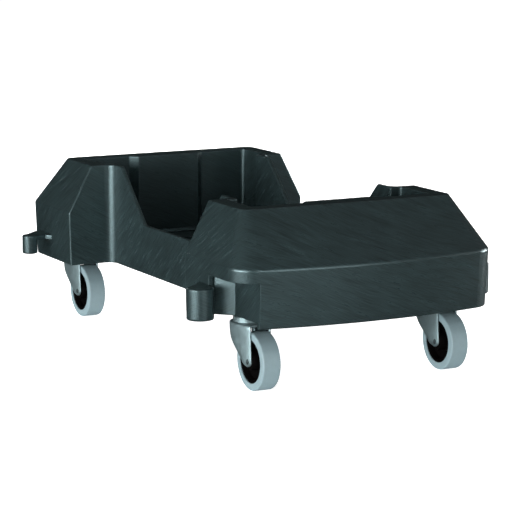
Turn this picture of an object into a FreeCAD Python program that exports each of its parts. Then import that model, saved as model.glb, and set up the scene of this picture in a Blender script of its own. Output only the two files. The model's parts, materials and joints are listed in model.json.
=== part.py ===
"""Container trolley: one moulded body on four swivel casters.

Millimetres, +Z up, X across the trolley, Y along it.  The origin is on the floor, under the
middle of the body.  Every driving dimension is a cell of the "Sizes" spreadsheet, and each
sketch, primitive and placement is bound to those cells.
"""
import FreeCAD, Part
import math
import os

import Sketcher
from FreeCAD import Placement, Rotation, Vector

DIMENSIONS = {
    # moulded body, outside
    "half_width": 190.5,          # half width at the crease
    "crease_reach": 371.0,        # middle of the bowed end, at the crease
    "skirt_reach": 366.0,         # the same at the bottom of the skirt
    "hood_reach": 296.0,          # the same at the top of the hood
    "skirt_draft": 1.5,
    "side_slope": 35.0,           # how far the hood leans in at each side
    "wing_start": 194.0,          # flat end of each end box
    "skirt_bottom": 87.5,
    "crease_height": 164.0,
    "top_height": 232.0,
    "bow_radius": 820.0,
    "hood_bow_radius": 9000.0,
    "crease_corner": 36.0,
    "hood_corner": 15.0,
    "wall": 6.0,
    # rounding of its edges
    "rim_round": 2.0,
    "crease_round": 5.0,
    "arris_round": 2.0,
    "hem_round": 1.2,
    "rail_round": 1.4,
    "end_corner_round": 6.0,
    "wing_round": 4.0,
    "cheek_round": 1.5,
    "lug_round": 2.4,
    # cradle between the end boxes
    "rail_outside": 122.0,
    "rail_height": 157.0,
    "rail_half_length": 84.5,
    "cheek_half_length": 163.5,   # where the rail wall reaches full height
    "rail_blend": 14.0,
    "wing_blend": 13.0,           # between the rail and the wing
    "cradle_half_width": 132.0,
    "cradle_half_length": 272.0,
    "panel_half_length": 261.0,   # proud middle panel of each end wall
    "panel_half_width": 49.0,
    "floor_top": 113.0,
    "floor_thickness": 5.0,
    "drain_half_width": 92.0,
    "drain_height": 6.0,
    "pad_radius": 24.0,
    "pad_height": 7.0,
    "pad_offset": 194.0,
    # opening in one skirt corner
    "recess_inside": 161.0,
    "recess_start": 265.5,
    "recess_corner": 283.0,
    "recess_top": 147.0,
    "web_bottom": 94.5,
    # link lugs on the sides
    "boss_x": 206.5,
    "boss_y": 274.0,
    "boss_radius": 17.7,
    "boss_bottom": 92.0,
    "boss_top": 133.5,
    "peg_x": 219.0,
    "peg_y": 278.0,
    "peg_radius": 11.2,
    "peg_bottom": 95.5,
    "peg_top": 123.0,
    "lug_thickness": 7.0,
    "boss_front": 8.0,            # where its lug starts along the wall, from the post's middle
    "peg_front": -6.0,
    "lug_back": 43.0,             # where both lugs end
    "lug_flare": 9.0,
    # caster places and the sockets moulded for them
    "caster_x": 139.5,
    "caster_y": 278.0,
    "mount_height": 94.0,
    "socket_height": 42.0,
    "socket_radius": 14.0,
    "socket_foot": 19.0,
    "sleeve_radius": 7.0,
    "deck_across": 60.0,
    "deck_along": 48.0,
    "rib": 4.0,
    # swivel bearing
    "stem_radius": 5.5,
    "fit": 0.05,                  # shaft in hole, on the radius
    "gap": 0.4,                   # between faces that turn past each other
    "cap_radius": 20.0,
    "cap_wall": 2.0,
    "crown_top": 85.2,
    "crown_radius": 24.0,
    "sheet": 2.6,                 # fork steel
    "ball_radius": 2.6,
    "race_radius": 13.0,
    # fork and wheel
    "trail": 28.7,
    "wheel_radius": 38.1,
    "wheel_width": 25.4,
    "fork_inside": 14.0,
    "hub_radius": 28.6,
    "hub_bore": 6.2,
    "axle_radius": 3.0,
    "bushing_radius": 6.1,
    "head_radius": 3.8,
    "head_height": 1.0,
    "nut_height": 5.0,
    "nut_width": 10.0,
    "hub_boss": 10.5,
    "hub_web": 9.0,
    "shoulder": 2.4,
    "fork_tip": 8.5,
    "fork_back": 21.0,
    "fork_sweep": 72.0,
}

CASTERS = {"near_left": (-1, -1), "near_right": (1, -1), "far_left": (-1, 1), "far_right": (1, 1)}
BALL_COUNT = 12


class Size:
    """A number together with the spreadsheet expression that gives it."""

    def __init__(self, value, text):
        self.value = float(value)
        self.text = text

    def __add__(self, other):
        other = as_size(other)
        return Size(self.value + other.value, f"({self.text} + {other.text})")

    def __radd__(self, other):
        return as_size(other) + self

    def __sub__(self, other):
        other = as_size(other)
        return Size(self.value - other.value, f"({self.text} - {other.text})")

    def __rsub__(self, other):
        return as_size(other) - self

    def __mul__(self, other):
        other = as_size(other)
        return Size(self.value * other.value, f"({self.text} * {other.text})")

    def __rmul__(self, other):
        return as_size(other) * self

    def __truediv__(self, other):
        other = as_size(other)
        return Size(self.value / other.value, f"({self.text} / {other.text})")

    def __neg__(self):
        return Size(-self.value, f"(0 - {self.text})")


def as_size(number):
    return number if isinstance(number, Size) else Size(number, f"({float(number)!r})")


def root(size):
    return Size(math.sqrt(size.value), f"sqrt({size.text})")


def size(alias):
    return Size(DIMENSIONS[alias], f"Sizes.{alias}")


doc = FreeCAD.newDocument("container_trolley")
sheet = doc.addObject("Spreadsheet::Sheet", "Sizes")
for row, (alias, number) in enumerate(DIMENSIONS.items(), start=1):
    sheet.set(f"A{row}", alias.replace("_", " "))
    sheet.set(f"B{row}", str(number))
    sheet.setAlias(f"B{row}", alias)
doc.recompute()


# ---------------------------------------------------------------- helpers

def bind(thing, prop, amount):
    thing.setExpression(prop, as_size(amount).text)


def place(thing, x=0, y=0, z=0, turn=None):
    thing.Placement = Placement(Vector(0, 0, 0), turn or Rotation())
    for axis, amount in zip("xyz", (x, y, z)):
        bind(thing, f"Placement.Base.{axis}", amount)


def fill_outline(sketch, corners, arcs=None):
    """Closed outline through the corners; arcs maps a side's number to (radius, bulge side)."""
    arcs = arcs or {}
    count = len(corners)
    points = [Vector(as_size(a).value, as_size(b).value, 0) for a, b in corners]
    for i in range(count):
        first, last = points[i], points[(i + 1) % count]
        if i in arcs:
            radius, side = arcs[i]
            reach = as_size(radius).value
            half = (last - first).Length / 2
            across = Vector(last.y - first.y, first.x - last.x, 0).normalize() * side
            centre = (first + last) * 0.5 - across * math.sqrt(max(reach ** 2 - half ** 2, 0))
            turns = [math.atan2(p.y - centre.y, p.x - centre.x) for p in (first, last)]
            if side < 0:
                turns.reverse()
            if turns[1] < turns[0]:
                turns[1] += 2 * math.pi
            circle = Part.Circle(centre, Vector(0, 0, 1), reach)
            sketch.addGeometry(Part.ArcOfCircle(circle, *turns), False)
        else:
            sketch.addGeometry(Part.LineSegment(first, last), False)

    def ends(i):
        """Point numbers at the start and the end of side i, as the sketch stores them."""
        edge = sketch.Geometry[i]
        return (1, 2) if (edge.StartPoint - points[i]).Length < 1e-6 else (2, 1)

    for i in range(count):
        following = (i + 1) % count
        sketch.addConstraint(Sketcher.Constraint(
            "Coincident", i, ends(i)[1], following, ends(following)[0]))
    for i, (a, b) in enumerate(corners):
        for kind, amount in (("DistanceX", a), ("DistanceY", b)):
            amount = as_size(amount)
            number = sketch.addConstraint(Sketcher.Constraint(
                kind, -1, 1, i, ends(i)[0], amount.value))
            sketch.setExpression(f"Constraints[{number}]", amount.text)
    for i, (radius, side) in arcs.items():
        radius = as_size(radius)
        number = sketch.addConstraint(Sketcher.Constraint("Radius", i, radius.value))
        sketch.setExpression(f"Constraints[{number}]", radius.text)
    return sketch


def plan_sketch(name, corners, height, arcs=None):
    sketch = doc.addObject("Sketcher::SketchObject", name)
    fill_outline(sketch, corners, arcs)
    bind(sketch, "Placement.Base.z", height)
    return sketch


def side_sketch(name, corners, start, arcs=None):
    """Outline in Y and Z, standing at X = start."""
    sketch = doc.addObject("Sketcher::SketchObject", name)
    sketch.Placement = Placement(Vector(0, 0, 0), Rotation(Vector(1, 1, 1), 120))
    fill_outline(sketch, corners, arcs)
    bind(sketch, "Placement.Base.x", start)
    return sketch


def extrude(name, sketch, length):
    solid = doc.addObject("Part::Extrusion", name)
    solid.Base = sketch
    solid.DirMode = "Normal"
    solid.Solid = True
    bind(solid, "LengthFwd", length)
    return solid


def loft(name, sketches):
    solid = doc.addObject("Part::Loft", name)
    solid.Sections = sketches
    solid.Solid = True
    solid.Ruled = True
    return solid


def box(name, x, y, z):
    """Block between pairs of planes in X, Y and Z."""
    solid = doc.addObject("Part::Box", name)
    for prop, (low, high) in zip(("Length", "Width", "Height"), (x, y, z)):
        bind(solid, prop, as_size(high) - low)
    place(solid, x[0], y[0], z[0])
    return solid


def post(name, x, y, low, high, radius):
    solid = doc.addObject("Part::Cylinder", name)
    bind(solid, "Radius", radius)
    bind(solid, "Height", as_size(high) - low)
    place(solid, x, y, low)
    return solid


def join(name, solids):
    solid = doc.addObject("Part::MultiFuse", name)
    solid.Shapes = solids
    solid.Refine = True
    return solid


def add(name, base, solids):
    """Join the solids to the base one after another."""
    for number, solid in enumerate(solids, start=1):
        union = doc.addObject("Part::Fuse", f"{name}_{number}")
        union.Base = base
        union.Tool = solid
        base = union
    base.Refine = True
    return base


def cut(name, base, tools):
    solid = doc.addObject("Part::Cut", name)
    solid.Base = base
    solid.Tool = tools[0] if len(tools) == 1 else join(name + "_tools", tools)
    solid.Refine = True
    return solid


def mirrored(name, source, normal):
    solid = doc.addObject("Part::Mirroring", name)
    solid.Source = source
    solid.Normal = normal
    return solid


def rounded(name, base, choose):
    """Fillet the edges for which choose(edge) gives a radius."""
    doc.recompute()
    picked = []
    for number, edge in enumerate(base.Shape.Edges, start=1):
        radius = choose(edge)
        if radius:
            picked.append((number, radius, radius))
    solid = doc.addObject("Part::Fillet", name)
    solid.Base = base
    solid.Edges = picked
    doc.recompute()
    return solid


class Spot:
    """Where an edge lies: its middle, taken to the far right quarter, and its direction."""

    CLOSE = 0.05

    def __init__(self, edge):
        middle = edge.valueAt((edge.FirstParameter + edge.LastParameter) / 2)
        reach = edge.BoundBox
        self.x, self.y, self.z = abs(middle.x), abs(middle.y), middle.z
        self.level = reach.ZLength < self.CLOSE
        self.upright = reach.XLength < self.CLOSE and reach.YLength < self.CLOSE
        self.lengthwise = reach.XLength < self.CLOSE and reach.YLength > self.CLOSE
        self.flat_end = reach.YLength < self.CLOSE
        self.bowed = not self.flat_end and reach.XLength > self.CLOSE

    def at(self, **planes):
        """True if the edge's middle lies in each plane, given as a size's alias or a number."""
        return all(abs(getattr(self, axis) - DIMENSIONS.get(value, value)) < self.CLOSE
                   for axis, value in planes.items())


# ---------------------------------------------------------------- moulded body

def end_outline(name, side, reach, bow, corner, height, inset=0, start=None):
    """Plan of an end box: straight sides, round corners and a bowed end.

    side is the half width, reach the middle of the bow; inset moves the whole outline inward.
    """
    side = side - inset
    reach = reach - inset
    corner = as_size(corner) - inset
    bow = as_size(bow) - inset
    start = size("wing_start") if start is None else start
    centre = reach - bow
    corner_x = side - corner
    corner_y = centre + root((bow - corner) * (bow - corner) - corner_x * corner_x)
    touch_x = corner_x * bow / (bow - corner)
    touch_y = centre + (corner_y - centre) * bow / (bow - corner)
    corners = [(-side, start), (-side, corner_y), (-touch_x, touch_y),
               (touch_x, touch_y), (side, corner_y), (side, start)]
    arcs = {1: (corner, -1), 2: (bow, -1), 3: (corner, -1)}
    return plan_sketch(name, corners, height, arcs)


def end_sections(name, inset=0, start=None, low=None, high=None):
    """Outlines of the end box at the skirt's bottom, the crease and the top."""
    half = size("half_width")
    return [
        end_outline(name + "_skirt_plan", half - size("skirt_draft"), size("skirt_reach"),
                    size("bow_radius"), size("crease_corner"), low or size("skirt_bottom"),
                    inset, start),
        end_outline(name + "_crease_plan", half, size("crease_reach"), size("bow_radius"),
                    size("crease_corner"), size("crease_height"), inset, start),
        end_outline(name + "_hood_plan", half - size("side_slope"), size("hood_reach"),
                    size("hood_bow_radius"), size("hood_corner"), high or size("top_height"),
                    inset, start),
    ]


def make_envelope():
    """Solid outside of the body: two end boxes and the cradle's side walls between them."""
    far_end = loft("far_end", end_sections("far_end"))
    near_end = mirrored("near_end", far_end, Vector(0, 1, 0))
    outside = size("rail_outside")
    start, top, rail = size("wing_start"), size("top_height"), size("rail_height")
    cheek, flat, bottom = size("cheek_half_length"), size("rail_half_length"), size("skirt_bottom")
    inside = start + 1
    corners = [(-inside, bottom), (inside, bottom), (inside, top), (cheek, top), (flat, rail),
               (-flat, rail), (-cheek, top), (-inside, top)]
    middle = extrude("middle", side_sketch("middle_side", corners, -outside), outside * 2)
    whole = join("whole", [far_end, near_end, middle])

    def radius(edge):
        spot = Spot(edge)
        if spot.upright and spot.at(x="rail_outside"):
            return DIMENSIONS["wing_blend"]
        if spot.level and spot.at(y="rail_half_length", z="rail_height"):
            return DIMENSIONS["rail_blend"]
        if spot.level and spot.at(z="skirt_bottom") and not spot.at(y="wing_start"):
            outer = spot.x > DIMENSIONS["rail_outside"] or spot.bowed
            return DIMENSIONS["hem_round"] if outer else 0
        if spot.level and spot.at(z="crease_height") and not spot.flat_end:
            return DIMENSIONS["crease_round"]
        leaning = spot.flat_end and not spot.level and not spot.upright
        if leaning and spot.at(y="wing_start"):
            return DIMENSIONS["arris_round"]
        return 0

    return rounded("envelope", whole, radius)


def cradle_corners(grow=0):
    """Half-turn symmetric plan of the cradle between the end walls."""
    wide, narrow = size("cradle_half_width") + grow, size("rail_outside") - size("wall") + grow
    step = size("wing_start") + size("wall") - grow
    long, panel = size("cradle_half_length") + grow, size("panel_half_length") + grow
    inner = size("panel_half_width")
    outer = inner + (size("cradle_half_length") - size("panel_half_length"))
    quarter = [(narrow, step), (wide, step), (wide, long), (outer, long), (inner, panel)]
    far = quarter + [(-x, y) for x, y in reversed(quarter)]
    return far + [(-x, -y) for x, y in far]


def make_recess():
    """Opening in the near left corner of the skirt, and the web that closes it behind."""
    wall, half = size("wall"), size("half_width")
    inside, corner = size("recess_inside"), size("recess_corner")
    start, low, top = size("recess_start"), size("skirt_bottom"), size("recess_top")
    outer = half + 5
    end = size("crease_reach") + 5
    slant = half - wall - inside
    opening = plan_sketch("recess_plan", [
        (-outer, -end), (-inside, -end), (-inside, -corner), (-inside - slant, -corner + slant),
        (-inside - slant, -start), (-outer, -start)], low - 2)
    back = wall * 1.4
    web = plan_sketch("web_plan", [
        (-inside, -end), (-inside + wall, -end), (-inside + wall, -corner + wall / 2),
        (-outer, -corner + outer - inside + back), (-outer, -corner + outer - inside),
        (-inside, -corner)], size("web_bottom"))
    return extrude("recess", opening, top - low + 2), extrude("recess_web", web, size("top_height"))


def make_sockets():
    """Stem sockets, each braced to the skirt and the floor by a mounting deck and two ribs."""
    rib, low = size("rib"), size("mount_height")
    deck = size("floor_top") - size("floor_thickness")
    across, along = size("deck_across"), size("deck_along")
    solids = []
    for name, (right, far) in CASTERS.items():
        x, y = size("caster_x") * right, size("caster_y") * far
        high = low + size("socket_height")
        solids += [
            post(f"socket_{name}", x, y, low, high, size("socket_radius")),
            post(f"foot_{name}", x, y, low, deck + 1, size("socket_foot")),
            box(f"deck_{name}", (x - across, x + across), (y - along, y + along),
                (deck, deck + size("floor_thickness"))),
            box(f"rib_across_{name}", (x - across, x + across), (y - rib / 2, y + rib / 2),
                (low + 2, deck + 1)),
            box(f"rib_along_{name}", (x - rib / 2, x + rib / 2), (y - along, y + along),
                (low + 2, deck + 1)),
        ]
    return solids


def make_link_lugs():
    """Thick bosses beside the near corners and slim pegs beside the far ones."""
    wall_x = -size("half_width") + size("wall") / 2
    thick, flare = size("lug_thickness"), size("lug_flare")
    solids = []
    for kind, far in (("boss", -1), ("peg", 1)):
        x, y = -size(f"{kind}_x"), size(f"{kind}_y") * far
        radius, top = size(f"{kind}_radius"), size(f"{kind}_top")
        front = y + size(f"{kind}_front")
        outline = [(x - radius * 0.3, y + radius * 0.8), (wall_x, y + size("lug_back"))]
        if kind == "boss":
            outline += [(wall_x, front), (x, y)]
        else:
            outline += [(wall_x, front - flare), (wall_x - flare, front), (x, y - radius * 0.9)]
        lug = extrude(kind + "_lug", plan_sketch(kind + "_plan", outline, top - thick), thick)
        upright = post(kind + "_post", x, y, size(f"{kind}_bottom"), top, radius)
        left = rounded(kind + "_left", add(kind + "_sharp", upright, [lug]), lug_edge_radius)
        solids += [left, mirrored(kind + "_right", left, Vector(1, 0, 0))]
    return solids


def lug_edge_radius(edge):
    """Rounding of a lug's upper rim and of its post's lower rim."""
    spot = Spot(edge)
    in_wall = spot.x < DIMENSIONS["half_width"]
    rims = ("boss_top", "boss_bottom", "peg_top", "peg_bottom")
    on_rim = spot.level and any(spot.at(z=rim) for rim in rims)
    return DIMENSIONS["lug_round"] if on_rim and not in_wall else 0


def make_body():
    wall, floor = size("wall"), size("floor_top")
    underside = floor - size("floor_thickness")
    top, bottom = size("top_height"), size("skirt_bottom")
    envelope = make_envelope()

    cradle = extrude("cradle", plan_sketch("cradle_plan", cradle_corners(), floor), top)
    tub = extrude("tub", plan_sketch("tub_plan", cradle_corners(wall), underside), top)

    hollow_start = size("wing_start") + wall
    far_hollow = loft("far_hollow", end_sections("far_hollow", wall, hollow_start,
                                                 bottom - 1, top - wall))
    near_hollow = mirrored("near_hollow", far_hollow, Vector(0, 1, 0))
    recess, web = make_recess()
    kept = add("kept", tub, make_sockets() + [web])
    hollows = cut("hollows", join("both_hollows", [far_hollow, near_hollow]), [kept])
    rail_inside = size("rail_outside") - wall
    under_floor = box("under_floor", (-rail_inside, rail_inside),
                      (-hollow_start - 2, hollow_start + 2), (bottom - 1, underside))
    shell = cut("shell", envelope, [cradle, hollows, under_floor, recess])

    across = size("drain_half_width")
    panel = size("panel_half_length")
    drains = [box(f"drain_{tag}", (-across, across),
                  (panel - 1, panel + wall * 3) if tag == "far" else (-panel - wall * 3, -panel + 1),
                  (floor, floor + size("drain_height"))) for tag in ("far", "near")]
    drained = cut("drained", shell, drains)
    pads = [post(f"pad_{tag}", 0, size("pad_offset") * side, floor - 1,
                 floor + size("pad_height"), size("pad_radius"))
            for tag, side in (("far", 1), ("near", -1))]
    solid = join("filled", [drained] + pads + make_link_lugs())
    bores = [post(f"bore_{name}", size("caster_x") * right, size("caster_y") * far,
                  size("mount_height") - 1, size("mount_height") + size("socket_height") - 3,
                  size("sleeve_radius") + size("fit")) for name, (right, far) in CASTERS.items()]
    return rounded("trolley_body", cut("bored", solid, bores), body_edge_radius)


def body_edge_radius(edge):
    """Rounding of the finished body's edges, each kind found by its place."""
    spot = Spot(edge)
    sizes = DIMENSIONS
    rail_inside = sizes["rail_outside"] - sizes["wall"]
    if spot.level and spot.at(z="top_height"):
        return sizes["rim_round"]
    if spot.lengthwise and spot.y < sizes["wing_start"] and spot.z > sizes["rail_height"] - 2:
        on_rail = spot.at(x="rail_outside") or spot.at(x=rail_inside)
        return sizes["rail_round"] if on_rail else 0
    if spot.upright and spot.z > sizes["rail_height"]:
        start = sizes["wing_start"] + sizes["wall"]
        kinds = (("cradle_half_width", "cradle_half_length", "end_corner_round"),
                 ("cradle_half_width", start, "wing_round"), (rail_inside, start, "cheek_round"),
                 ("panel_half_width", "panel_half_length", "cheek_round"))
        for x, y, radius in kinds:
            if spot.at(x=x, y=y):
                return sizes[radius]
    return 0


# ---------------------------------------------------------------- casters

def plane_of(body, role):
    return next(item for item in body.Origin.OriginFeatures if item.Role == role)


def new_body(name):
    return doc.addObject("PartDesign::Body", name)


def body_sketch(body, name, role, corners, arcs=None):
    sketch = body.newObject("Sketcher::SketchObject", name)
    sketch.AttachmentSupport = [(plane_of(body, role), "")]
    sketch.MapMode = "FlatFace"
    return fill_outline(sketch, corners, arcs)


def revolved(name, corners, axis="V_Axis", arcs=None):
    """Turned piece: corners are (radius, height) about Z, or (along, radius) about X."""
    body = new_body(name)
    role = "XZ_Plane" if axis == "V_Axis" else "XY_Plane"
    sketch = body_sketch(body, name + "_profile", role, corners, arcs)
    turn = body.newObject("PartDesign::Revolution", name + "_turn")
    turn.Profile = sketch
    turn.ReferenceAxis = (sketch, [axis])
    turn.Angle = 360.0
    body.Tip = turn
    return body


def make_stem(name):
    """Kingpin and stem in one, its lower end headed under the fork's crown."""
    radius, crown = size("stem_radius"), size("crown_top") - size("sheet")
    head = radius + 4
    low, top = crown - size("gap"), size("mount_height") + size("socket_height") - 7
    return revolved(name, [
        (0, low - 2.8), (head - 1.2, low - 2.8), (head, low - 1.6), (head, low), (radius, low),
        (radius, top - 12), (radius - 0.9, top - 11.2), (radius - 0.9, top - 8.2),
        (radius, top - 7.4), (radius, top - 1.5), (radius - 1.5, top), (0, top)])


def make_sleeve(name):
    inner, outer = size("stem_radius") + size("fit"), size("sleeve_radius")
    low = size("mount_height")
    top = low + size("socket_height") - 5
    return revolved(name, [(inner, low - 1), (outer + 3, low - 1), (outer + 3, low), (outer, low),
                           (outer, top), (inner, top)])


def make_cap(name):
    """Upper bearing cup, a shallow steel bell over the balls."""
    bore, outer, wall = size("stem_radius") + size("fit"), size("cap_radius"), size("cap_wall")
    top, low = size("mount_height") - 1, size("crown_top") + size("gap")
    return revolved(name, [
        (bore, top - wall), (outer - wall, top - wall), (outer - wall, low), (outer, low),
        (outer, top - wall), (outer - wall, top), (bore, top)], arcs={4: (wall, 1)})


def make_balls(name):
    """Ring of bearing balls between the cup and the crown."""
    height = size("crown_top") + size("ball_radius") + 0.3
    balls = []
    for number in range(BALL_COUNT):
        turn = 2 * math.pi * number / BALL_COUNT
        ball = doc.addObject("Part::Sphere", f"{name}_{number}")
        bind(ball, "Radius", size("ball_radius"))
        place(ball, size("race_radius") * math.cos(turn), size("race_radius") * math.sin(turn), height)
        balls.append(ball)
    ring = doc.addObject("Part::Compound", name)
    ring.Links = balls
    return ring


def make_fork(name):
    """Pressed fork: a round crown on two legs that sweep back to the axle."""
    body = new_body(name)
    axle_y, axle_z = -size("trail"), size("wheel_radius")
    outside, crown = size("fork_inside") + size("sheet"), size("crown_top")
    tip = size("fork_tip")
    back, front = size("fork_back"), axle_y - tip
    side = body_sketch(body, name + "_side", "YZ_Plane", [
        (back, crown - 1.5), (back, crown - 8), (axle_y + tip * 0.8, axle_z - tip * 0.6),
        (axle_y - tip, axle_z), (front, crown - 14), (front + 7, crown - 1.5),
        (front + 9, crown), (back - 1.5, crown)],
        arcs={1: (size("fork_sweep"), -1), 2: (tip, -1)})
    block = body.newObject("PartDesign::Pad", name + "_block")
    block.Profile = side
    block.Midplane = True
    bind(block, "Length", outside * 2)
    inner = size("fork_inside")
    between = body_sketch(body, name + "_between", "XZ_Plane", [
        (-inner, 0), (inner, 0), (inner, crown - size("sheet")), (-inner, crown - size("sheet"))])
    slot = body.newObject("PartDesign::Pocket", name + "_slot")
    slot.Profile = between
    slot.Type = "ThroughAll"
    slot.Midplane = True
    plate = body.newObject("PartDesign::AdditiveCylinder", name + "_crown")
    bind(plate, "Radius", size("crown_radius"))
    bind(plate, "Height", size("sheet"))
    bind(plate, "Placement.Base.z", crown - size("sheet"))
    hole = body.newObject("PartDesign::SubtractiveCylinder", name + "_hole")
    bind(hole, "Radius", size("stem_radius") + size("gap"))
    bind(hole, "Height", size("sheet") * 3)
    bind(hole, "Placement.Base.z", crown - size("sheet") * 2)
    axle = body.newObject("PartDesign::SubtractiveCylinder", name + "_axle_hole")
    bind(axle, "Radius", size("axle_radius") + size("fit"))
    bind(axle, "Height", outside * 2 + 4)
    axle.Placement = Placement(Vector(0, 0, 0), Rotation(Vector(0, 1, 0), 90))
    bind(axle, "Placement.Base.x", -outside - 2)
    bind(axle, "Placement.Base.y", axle_y)
    bind(axle, "Placement.Base.z", axle_z)
    body.Tip = axle
    return body


def make_hub(name):
    """Wheel centre with a bore boss, a thin web and a rim."""
    bore, rim, half = size("hub_bore"), size("hub_radius"), size("wheel_width") / 2
    boss, web = size("hub_boss"), size("hub_web") / 2
    return revolved(name, [
        (-half - 0.5, bore), (half + 0.5, bore), (half + 0.5, boss), (half - 2, boss + 1.2),
        (web, boss + 2.4), (web, rim - 5), (half - 1.2, rim - 3.4), (half - 1.2, rim),
        (-half + 1.2, rim), (-half + 1.2, rim - 3.4), (-web, rim - 5), (-web, boss + 2.4),
        (-half + 2, boss + 1.2), (-half - 0.5, boss)], axis="H_Axis")


def make_tread(name):
    """Flat faced tyre with rounded shoulders."""
    rim, outer, half = size("hub_radius"), size("wheel_radius"), size("wheel_width") / 2
    shoulder = size("shoulder")
    return revolved(name, [
        (-half, rim), (half, rim), (half, outer - shoulder), (half - shoulder, outer),
        (-half + shoulder, outer), (-half, outer - shoulder)], axis="H_Axis",
        arcs={2: (shoulder, 1), 4: (shoulder, 1)})


def make_bushing(name):
    inner, outer = size("axle_radius") + size("fit"), size("bushing_radius")
    half = size("fork_inside")
    return revolved(name, [(-half, inner), (half, inner), (half, outer), (-half, outer)],
                    axis="H_Axis")


def make_bolt(name):
    """Axle with a low round head at the left, threaded for the nut at the right."""
    radius, head, high = size("axle_radius"), size("head_radius"), size("head_height")
    left = -size("fork_inside") - size("sheet")
    right = -left + size("nut_height") + 1.2
    return revolved(name, [
        (left - high, 0), (right, 0), (right, radius - 0.8), (right - 0.8, radius), (left, radius),
        (left, head), (left - high * 0.35, head), (left - high, head * 0.55)], axis="H_Axis")


def make_nut(name):
    """Hexagon lock nut with a round collar."""
    body = new_body(name)
    left = size("fork_inside") + size("sheet")
    high = size("nut_height")
    half = size("nut_width") / 2
    corner = half * 2 / math.sqrt(3)
    hexagon = [(corner * math.cos(math.pi * k / 3), corner * math.sin(math.pi * k / 3))
               for k in range(6)]
    sketch = body_sketch(body, name + "_hexagon", "YZ_Plane", hexagon)
    bind(sketch, "AttachmentOffset.Base.z", left)
    pad = body.newObject("PartDesign::Pad", name + "_pad")
    pad.Profile = sketch
    bind(pad, "Length", high * 0.72)
    collar = body.newObject("PartDesign::AdditiveCylinder", name + "_collar")
    collar.Placement = Placement(Vector(0, 0, 0), Rotation(Vector(0, 1, 0), 90))
    bind(collar, "Radius", half - 0.4)
    bind(collar, "Height", high)
    bind(collar, "Placement.Base.x", left)
    bore = body.newObject("PartDesign::SubtractiveCylinder", name + "_bore")
    bore.Placement = Placement(Vector(0, 0, 0), Rotation(Vector(0, 1, 0), 90))
    bind(bore, "Radius", size("axle_radius") + size("fit"))
    bind(bore, "Height", high + 4)
    bind(bore, "Placement.Base.x", left - 2)
    body.Tip = bore
    return body


SWIVEL_PIECES = {"caster_stem": make_stem, "stem_sleeve": make_sleeve, "bearing_cap": make_cap,
                 "bearing_balls": make_balls, "caster_fork": make_fork}
WHEEL_PIECES = {"wheel_hub": make_hub, "wheel_tread": make_tread, "wheel_bushing": make_bushing,
                "axle_bolt": make_bolt, "axle_nut": make_nut}


def make_caster(place_name, right, far):
    x, y = size("caster_x") * right, size("caster_y") * far
    pieces = []
    for kind, make in {**SWIVEL_PIECES, **WHEEL_PIECES}.items():
        piece = make(f"{kind}_{place_name}")
        on_axle = kind in WHEEL_PIECES
        place(piece, x, y - size("trail") if on_axle else y, size("wheel_radius") if on_axle else 0)
        pieces.append(piece)
    return pieces


# ---------------------------------------------------------------- build, check and write

sub_parts = [make_body()]
for place_name, (right, far) in CASTERS.items():
    sub_parts += make_caster(place_name, right, far)
doc.recompute()

for item in doc.Objects:
    if {"Invalid", "Error"} & set(item.State):
        raise RuntimeError(f"{item.Name} did not recompute: {item.State}")
os.makedirs("parts", exist_ok=True)
for item in sub_parts:
    item.Label = item.Name
    if item.Shape.isNull() or not item.Shape.isValid():
        raise RuntimeError(f"{item.Label} has no valid shape")
    item.Shape.exportStep(f"parts/{item.Label}.step")
print(f"{len(sub_parts)} sub-parts written")
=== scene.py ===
import json
import math

import bmesh
import bpy
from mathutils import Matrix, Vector


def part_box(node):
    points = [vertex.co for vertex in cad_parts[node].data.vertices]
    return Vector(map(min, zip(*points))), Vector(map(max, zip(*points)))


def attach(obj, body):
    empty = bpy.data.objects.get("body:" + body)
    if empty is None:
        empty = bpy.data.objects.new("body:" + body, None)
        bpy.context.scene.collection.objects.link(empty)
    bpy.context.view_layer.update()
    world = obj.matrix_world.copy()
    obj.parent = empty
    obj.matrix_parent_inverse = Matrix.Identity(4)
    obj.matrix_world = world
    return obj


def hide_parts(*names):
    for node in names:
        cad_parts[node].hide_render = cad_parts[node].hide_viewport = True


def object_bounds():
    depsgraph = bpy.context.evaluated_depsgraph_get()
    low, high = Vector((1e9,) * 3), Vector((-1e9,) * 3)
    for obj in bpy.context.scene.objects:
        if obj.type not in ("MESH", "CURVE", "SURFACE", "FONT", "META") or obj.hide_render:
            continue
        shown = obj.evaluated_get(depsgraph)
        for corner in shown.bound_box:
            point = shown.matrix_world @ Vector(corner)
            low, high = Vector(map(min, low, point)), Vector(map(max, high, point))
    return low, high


PLACES = ("near_left", "near_right", "far_left", "far_right")
MM = 0.001
WHITE = (1, 1, 1, 1)

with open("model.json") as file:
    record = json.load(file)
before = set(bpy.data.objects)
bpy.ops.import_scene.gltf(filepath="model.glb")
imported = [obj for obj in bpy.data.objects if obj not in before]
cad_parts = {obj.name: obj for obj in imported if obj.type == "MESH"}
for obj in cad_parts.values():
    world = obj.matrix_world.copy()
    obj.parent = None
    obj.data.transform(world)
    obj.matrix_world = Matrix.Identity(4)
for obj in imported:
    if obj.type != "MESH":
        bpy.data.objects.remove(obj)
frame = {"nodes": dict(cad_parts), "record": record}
cad_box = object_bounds()
centre = (cad_box[0] + cad_box[1]) / 2
scene = bpy.context.scene
scene.view_settings.view_transform = "Standard"


# ---------------------------------------------------------------- node trees

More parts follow.
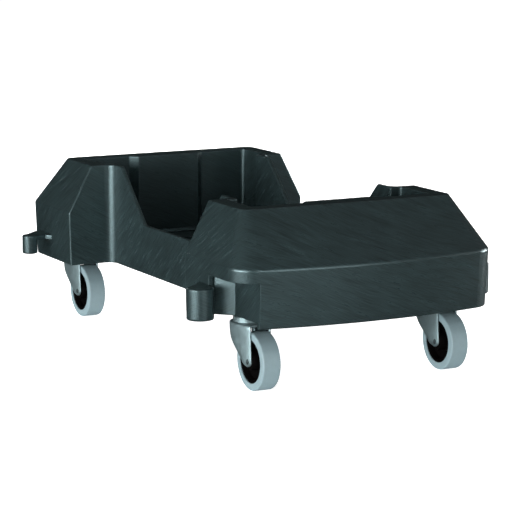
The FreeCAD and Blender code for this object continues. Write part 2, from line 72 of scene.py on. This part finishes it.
class Nodes:
    """A shader's node tree, with one call for each node."""

    def __init__(self, tree):
        self.tree = tree

    def node(self, kind, inputs, output=0, **settings):
        """New node; inputs maps a socket's name or number to a value or another node's output."""
        node = self.tree.nodes.new("ShaderNode" + kind)
        for name, value in settings.items():
            setattr(node, name, value)
        for name, value in inputs.items():
            self.put(node.inputs[name], value)
        return node.outputs[output]

    def put(self, socket, value):
        if isinstance(value, bpy.types.NodeSocket):
            self.tree.links.new(value, socket)
        else:
            socket.default_value = value

    def math(self, operation, *inputs):
        return self.node("Math", dict(enumerate(inputs)), operation=operation)

    def vector(self, operation, *inputs):
        return self.node("VectorMath", dict(enumerate(inputs)), operation=operation)

    def mix(self, share, first, second):
        return self.node("Mix", {"Factor": share, "A": first, "B": second})

    def remap(self, value, low, high, new_low, new_high):
        return self.node("MapRange", {"Value": value, "From Min": low, "From Max": high,
                                      "To Min": new_low, "To Max": new_high})


class Look(Nodes):
    """A procedural material."""

    def __init__(self, name):
        self.made = bpy.data.materials.new(name)
        self.made.use_nodes = True
        super().__init__(self.made.node_tree)
        self.shader = self.tree.nodes["Principled BSDF"]

    def place(self, origin=(0, 0, 0)):
        """Points of the object, in metres from the origin."""
        return self.vector("SUBTRACT", self.node("TexCoord", {}, "Object"), origin)

    def noise(self, points, scale, detail=3.0, roughness=0.55):
        return self.node("TexNoise", {"Vector": points, "Scale": scale, "Detail": detail,
                                      "Roughness": roughness})

    def tint(self, colour, amount):
        """The colour made lighter or darker by an amount that varies over the surface."""
        return self.node("Mix", {"A": (*colour, 1), "B": amount, "Factor": 1.0}, 2,
                         data_type="RGBA", blend_type="MULTIPLY")

    def edge_normal(self, radius):
        """Surface direction with sharp edges eased over a radius."""
        return self.node("Bevel", {"Radius": radius}, samples=4)

    def bump(self, height, distance, strength, normal=None):
        inputs = {"Height": height, "Distance": distance, "Strength": strength}
        if normal:
            inputs["Normal"] = normal
        return self.node("Bump", inputs)

    def finish(self, **inputs):
        for name, value in inputs.items():
            self.put(self.shader.inputs[name.replace("_", " ")], value)
        return self.made


# ---------------------------------------------------------------- camera, floor and light

def look_from(place, azimuth, elevation, lens):
    """Camera at a place, turned by azimuth about Z (0 looks along +Y) and tilted down."""
    camera = bpy.data.objects.new("camera", bpy.data.cameras.new("camera"))
    scene.collection.objects.link(camera)
    camera.data.lens = lens
    camera.data.sensor_width = 36.0
    camera.location = place
    camera.rotation_euler = (math.radians(90 - elevation), 0, math.radians(azimuth))
    scene.camera = camera


def floor(reach):
    """Pale floor that reaches the horizon and doesn't show in reflections."""
    mesh = bpy.data.meshes.new("floor")
    corners = [(-reach, -reach, 0), (reach, -reach, 0), (reach, reach, 0), (-reach, reach, 0)]
    mesh.from_pydata(corners, [], [(0, 1, 2, 3)])
    obj = bpy.data.objects.new("floor", mesh)
    scene.collection.objects.link(obj)
    mesh.materials.append(Look("floor_white").finish(
        Base_Color=(0.9, 0.9, 0.9, 1), Roughness=0.95, Emission_Color=WHITE,
        Emission_Strength=0.8))
    obj.visible_glossy = False


def softbox(name, azimuth, distance, size, gloss, fill):
    """Area light that stands on the floor, aimed at the object; azimuth turns from -X towards -Y.

    gloss is the power seen in reflections and fill the power that lights the surfaces evenly. Each
    is a light of its own, left out where its power is zero.
    """
    turn = math.radians(azimuth)
    place = Vector((-distance * math.cos(turn), -distance * math.sin(turn), size[1] / 2))
    for kind, power in (("gloss", gloss), ("fill", fill)):
        if not power:
            continue
        light = bpy.data.lights.new(f"{name}_{kind}", "AREA")
        light.shape = "RECTANGLE"
        light.size, light.size_y = size
        light.energy = power
        obj = bpy.data.objects.new(f"{name}_{kind}", light)
        obj.location = place
        obj.rotation_euler = (centre - place).to_track_quat("-Z", "Y").to_euler()
        obj.visible_camera = False
        obj.visible_diffuse = kind == "fill"
        obj.visible_glossy = kind == "gloss"
        scene.collection.objects.link(obj)


def surround(even, overhead):
    """World that the camera sees as white.

    Surfaces are lit by an even white, and reflections see a dark horizon that brightens overhead.
    """
    world = bpy.data.worlds.new("world")
    scene.world = world
    world.use_nodes = True
    sky = Nodes(world.node_tree)
    height = sky.node("SeparateXYZ", {0: sky.node("TexCoord", {}, "Generated")}, "Z")
    reflected = sky.remap(height, 0.3, 0.95, 0.0, overhead)
    seen = sky.mix(sky.node("LightPath", {}, "Is Glossy Ray"), even, reflected)
    background = sky.tree.nodes["Background"]
    sky.put(background.inputs["Color"], WHITE)
    sky.put(background.inputs["Strength"],
            sky.math("ADD", seen, sky.node("LightPath", {}, "Is Camera Ray")))


look_from((-1.4716, -2.8954, 0.6697), -27.16, 9.67, 163.74)
floor(60.0)
softbox("left_softbox", 17, 3.2, (3.1, 0.9), 205, 145)
softbox("front_softbox", 94, 1.6, (1.0, 0.7), 8, 0)
softbox("front_lamp", 62, 1.5, (1.0, 0.4), 0, 7.5)
softbox("right_softbox", 170, 3.2, (1.4, 0.8), 85, 75)
softbox("back_softbox", 268, 3.4, (2.4, 1.5), 0, 260)
surround(0.28, 0.2)


# ---------------------------------------------------------------- materials

def brushed(look, points, along, across, angles):
    """Fine streaks that run at a different slant on the sides, the ends and the level faces.

    along and across are how often the streaks change in a metre, and angles are the slants of the
    faces that look along X, Y and Z.
    """
    wander = 0.02             # how far the streaks may stray, in metres
    drift = look.node("TexNoise", {"Vector": points, "Scale": 7.0, "Detail": 0.0}, "Color")
    drift = look.vector("SUBTRACT", drift, (0.5, 0.5, 0.5))
    bent = look.vector("MULTIPLY_ADD", drift, (wander, wander, wander), points)
    facing = look.node("TexCoord", {}, "Normal")
    squared = look.vector("MULTIPLY", facing, facing)
    is_side = look.remap(look.node("SeparateXYZ", {0: squared}, "X"), 0.3, 0.5, 0.0, 1.0)
    is_level = look.remap(look.node("SeparateXYZ", {0: squared}, "Z"), 0.75, 0.9, 0.0, 1.0)
    layers = []
    for axis, angle in enumerate(angles):
        turn = [0, 0, 0]
        turn[axis] = math.radians(angle)
        scale = [along] * 3
        scale[1 if axis == 2 else 2] = across
        turned = look.node("VectorRotate", {"Vector": bent, "Rotation": turn},
                           rotation_type="EULER_XYZ")
        layers.append(look.noise(look.vector("MULTIPLY", turned, scale), 1.0, 1.0, 0.5))
    of_side, of_end, of_level = layers
    return look.mix(is_level, look.mix(is_side, of_end, of_side), of_level)


def body_plastic():
    """Dark moulded plastic with fine streaks, soft clouds and a grain."""
    look = Look("body_plastic")
    points = look.place()
    fine = brushed(look, points, 30.0, 1250.0, (38, -20, 25))
    broad = brushed(look, points, 22.0, 800.0, (48, -28, -30))
    streaks = look.mix(0.4, fine, broad)
    clouds = look.noise(points, 14.0, 2.0)
    grain = look.noise(points, 900.0, 2.0)
    amount = look.math("MULTIPLY", look.remap(streaks, 0.34, 0.66, 0.25, 1.75),
                       look.remap(clouds, 0.3, 0.7, 0.92, 1.08))
    height = look.math("ADD", look.math("MULTIPLY", streaks, 0.7),
                       look.math("MULTIPLY", grain, 0.3))
    return look.finish(
        Base_Color=look.tint((0.0115, 0.0195, 0.0205), amount),
        Roughness=look.remap(streaks, 0.3, 0.7, 0.4, 0.26),
        Specular_IOR_Level=0.7, Specular_Tint=(0.72, 1.0, 1.05, 1),
        Normal=look.bump(height, 0.16 * MM, 0.8, look.edge_normal(1.5 * MM)))


def plated(name, colour, roughness):
    """Plated steel with drawing marks and faint blotches."""
    look = Look(name)
    points = look.place()
    streaks = brushed(look, points, 120.0, 1800.0, (80, 80, 10))
    blotch = look.noise(points, 160.0, 3.0)
    amount = look.math("MULTIPLY", look.remap(streaks, 0.3, 0.7, 0.93, 1.07),
                       look.remap(blotch, 0.3, 0.7, 0.93, 1.06))
    return look.finish(
        Base_Color=look.tint(colour, amount), Metallic=0.85,
        Roughness=look.remap(blotch, 0.3, 0.7, roughness - 0.06, roughness + 0.08),
        Normal=look.bump(streaks, 0.04 * MM, 0.4))


def tread_rubber(place):
    """Grey rubber, a little darker on the running face than on its flat sides."""
    low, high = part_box(f"wheel_tread_{place}")
    half_width = (high.x - low.x) / 2
    look = Look(f"tread_rubber_{place}")
    points = look.place((low + high) / 2)
    off_middle = look.math("ABSOLUTE", look.node("SeparateXYZ", {0: points}, "X"))
    # darker on the running face, lighter towards the flat sides
    running_face_tone = look.remap(off_middle, half_width - 1.6 * MM, half_width - 0.2 * MM, 0.93, 1.18)
    mottle = look.noise(points, 130.0, 4.0)
    specks = look.noise(points, 1500.0, 2.0)
    amount = look.math("MULTIPLY", look.remap(mottle, 0.3, 0.7, 0.95, 1.04),
                       look.remap(specks, 0.3, 0.7, 0.97, 1.03))
    height = look.math("ADD", look.math("MULTIPLY", mottle, 0.6),
                       look.math("MULTIPLY", specks, 0.4))
    return look.finish(
        Base_Color=look.tint((0.172, 0.246, 0.268), look.math("MULTIPLY", amount, running_face_tone)),
        Roughness=look.remap(mottle, 0.3, 0.7, 0.5, 0.62),
        Specular_IOR_Level=0.4,
        Normal=look.bump(height, 0.08 * MM, 0.5))


def hub_plastic():
    """Black plastic with a dull grain."""
    look = Look("hub_plastic")
    grain = look.noise(look.place(), 1200.0, 3.0)
    return look.finish(
        Base_Color=look.tint((0.0016, 0.0014, 0.0014), look.remap(grain, 0.3, 0.7, 0.8, 1.2)),
        Roughness=look.remap(grain, 0.3, 0.7, 0.5, 0.65), Specular_IOR_Level=0.02,
        Normal=look.bump(grain, 0.06 * MM, 0.5))


looks = {
    "body_plastic": body_plastic(),
    "caster_zinc": plated("caster_zinc", (0.18, 0.247, 0.26), 0.5),
    "bearing_steel": plated("bearing_steel", (0.2, 0.26, 0.27), 0.3),
    "axle_steel": plated("axle_steel", (0.05, 0.068, 0.072), 0.5),
    "hub_plastic": hub_plastic(),
}
for place in PLACES:
    looks[f"wheel_tread_{place}"] = tread_rubber(place)
slot_of = {part["node"]: part["material_slot"] for part in frame["record"]["subparts"]}
for node, obj in frame["nodes"].items():
    obj.data.materials.clear()
    obj.data.materials.append(looks.get(node) or looks[slot_of[node]])


# ---------------------------------------------------------------- caster forks, in millimetres

SHEET = 2.4               # thickness of the steel
EDGE_ROUND = 0.5          # rounding of its cut edges
CUT_ANGLE = 50            # degrees of turn that count as a cut edge
TIP = 7.0                 # round end of a leg, about the axle
TIP_CUT = 0.1             # left off that end, which would come to a point
BACK = 22.0               # rear edge of the crown, behind the pivot
SLOPE = 1.4               # how fast a leg's rear edge runs back as it rises
SLOPE_BACK = 2.0          # the slope goes through this far behind the pivot
SLOPE_HEIGHT = 9.4        # and this far over the axle
SLOPE_BLEND = 8.0         # rounding where it meets the crown's rear edge
FRONT_LEAN = 0.06         # how much the front edge leans back as it rises
EDGE_WIDTH = 13.6         # half the width at a leg's rear and front edges
TIP_BULGE = 3.0           # how far a leg crowns out from there at its tip
CROWN_BULGE = 5.5         # and how much more it does at the crown
BULGE_SHAPE = 0.98        # just under 1, so that the crowning doesn't end square
LEAN_BACK = 0.3           # moves the fullest line of a leg towards its rear
SHOULDER = 3.6            # bend between a leg and the crown
CROWN_REAR = 1.9          # how far the crown's middle is rounded out behind
CROWN_FRONT = 0.4         # share of that on its front half
CROWN_STEPS = 8
SHOULDER_STEPS = 4
LEG_ROWS = 14
ROW_SPREAD = 1.2          # over 1 sets the rows closer together near the tip
COLUMNS = 15
STATIONS = [-math.cos(math.pi * k / (COLUMNS - 1)) for k in range(COLUMNS)]   # rear -1, front 1


def smooth_lesser(first, second, blend):
    """The smaller of two numbers, with the corner between them rounded."""
    return (first + second - math.sqrt((first - second) ** 2 + blend ** 2)) / 2


def leg_edges(height, axle):
    """Rear (+Y) and front (-Y) edge of a leg at a height, measured along Y from the pivot."""
    trail, axle_height = axle
    over_axle = max(height - axle_height, 0)
    rear = smooth_lesser(BACK, SLOPE_BACK + SLOPE * (over_axle - SLOPE_HEIGHT), SLOPE_BLEND)
    front = trail - TIP + FRONT_LEAN * over_axle
    if height < axle_height:
        share = math.sqrt(max(1 - ((axle_height - height) / TIP) ** 2, 0))
        rear = trail + (rear - trail) * share
        front = trail + (front - trail) * share
    return rear, front


def along(edges, station):
    """Where a station is between a leg's rear and front edges."""
    rear, front = edges
    return rear + (front - rear) * (station + 1) / 2


def half_width(station, share):
    """Half the fork's width at a station of a leg; share is 0 at the tip and 1 at the crown."""
    bulge = TIP_BULGE + CROWN_BULGE * math.sqrt(share)
    skewed = station + LEAN_BACK * (1 - station * station)
    return EDGE_WIDTH + bulge * math.sqrt(1 - BULGE_SHAPE * skewed ** 2)


def leg_rows(axle, crown):
    """Rows of points up the right leg and round its shoulder, as (across, along, height)."""
    lowest = axle[1] - TIP + TIP_CUT
    rows = []
    for step in range(LEG_ROWS):
        height = lowest + (crown - SHOULDER - lowest) * (step / (LEG_ROWS - 1)) ** ROW_SPREAD
        share = (height - lowest) / (crown - lowest)
        edges = leg_edges(height, axle)
        rows.append([(half_width(station, share), along(edges, station), height)
                     for station in STATIONS])
    edges = leg_edges(crown, axle)
    for step in range(1, SHOULDER_STEPS + 1):
        bend = math.pi / 2 * step / SHOULDER_STEPS
        inwards = SHOULDER * (1 - math.cos(bend))
        height = crown - SHOULDER * (1 - math.sin(bend))
        rows.append([(half_width(station, 1) - inwards, along(edges, station), height)
                     for station in STATIONS])
    return rows


def crown_rows(edge):
    """Rows across the crown, between the left leg's top edge and the right leg's, which is given."""
    rows = []
    for step in range(1, CROWN_STEPS):
        side = -1 + 2 * step / CROWN_STEPS
        rounding = CROWN_REAR * (1 - side * side)
        row = []
        for station, (x, y, z) in zip(STATIONS, edge):
            share = 1 if station < 0 else CROWN_FRONT
            row.append((x * side, y + rounding * (1 - station) / 2 * share, z))
        rows.append(row)
    return rows


def fork_mesh(place):
    """Outer surface of a fork."""
    tread_low, tread_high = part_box(f"wheel_tread_{place}")
    stem_low, stem_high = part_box(f"caster_stem_{place}")
    wheel = (tread_low + tread_high) / 2
    pivot = (stem_low + stem_high) / 2
    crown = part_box(f"caster_fork_{place}")[1].z / MM
    leg = leg_rows(((wheel.y - pivot.y) / MM, wheel.z / MM), crown)
    rows = [[(-x, y, z) for x, y, z in row] for row in leg] + crown_rows(leg[-1]) + leg[::-1]
    points = [(pivot.x + x * MM, pivot.y + y * MM, z * MM) for row in rows for x, y, z in row]
    corners = [row * COLUMNS + column
               for row in range(len(rows) - 1) for column in range(COLUMNS - 1)]
    faces = [(corner, corner + 1, corner + COLUMNS + 1, corner + COLUMNS) for corner in corners]
    mesh = bpy.data.meshes.new(f"pressed_fork_{place}")
    mesh.from_pydata(points, [], faces)
    shape = bmesh.new()
    shape.from_mesh(mesh)
    bmesh.ops.recalc_face_normals(shape, faces=shape.faces)
    top = max(shape.faces, key=lambda face: face.calc_center_median().z)
    if top.normal.z < 0:
        bmesh.ops.reverse_faces(shape, faces=shape.faces)
    shape.to_mesh(mesh)
    shape.free()
    for face in mesh.polygons:
        face.use_smooth = True
    return mesh


def add_fork(place):
    """Pressed steel fork with a round-backed crown and crowned legs that sweep to the axle."""
    mesh = fork_mesh(place)
    mesh.materials.append(looks["caster_zinc"])
    obj = bpy.data.objects.new(f"pressed_fork_{place}", mesh)
    scene.collection.objects.link(obj)
    sheet = obj.modifiers.new("sheet", "SOLIDIFY")
    sheet.thickness = SHEET * MM
    sheet.offset = -1
    edges = obj.modifiers.new("edges", "BEVEL")
    edges.width = EDGE_ROUND * MM
    edges.segments = 2
    edges.limit_method = "ANGLE"
    edges.angle_limit = math.radians(CUT_ANGLE)
    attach(obj, f"fork_{place}")
    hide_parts(f"caster_fork_{place}")


for place in PLACES:
    add_fork(place)
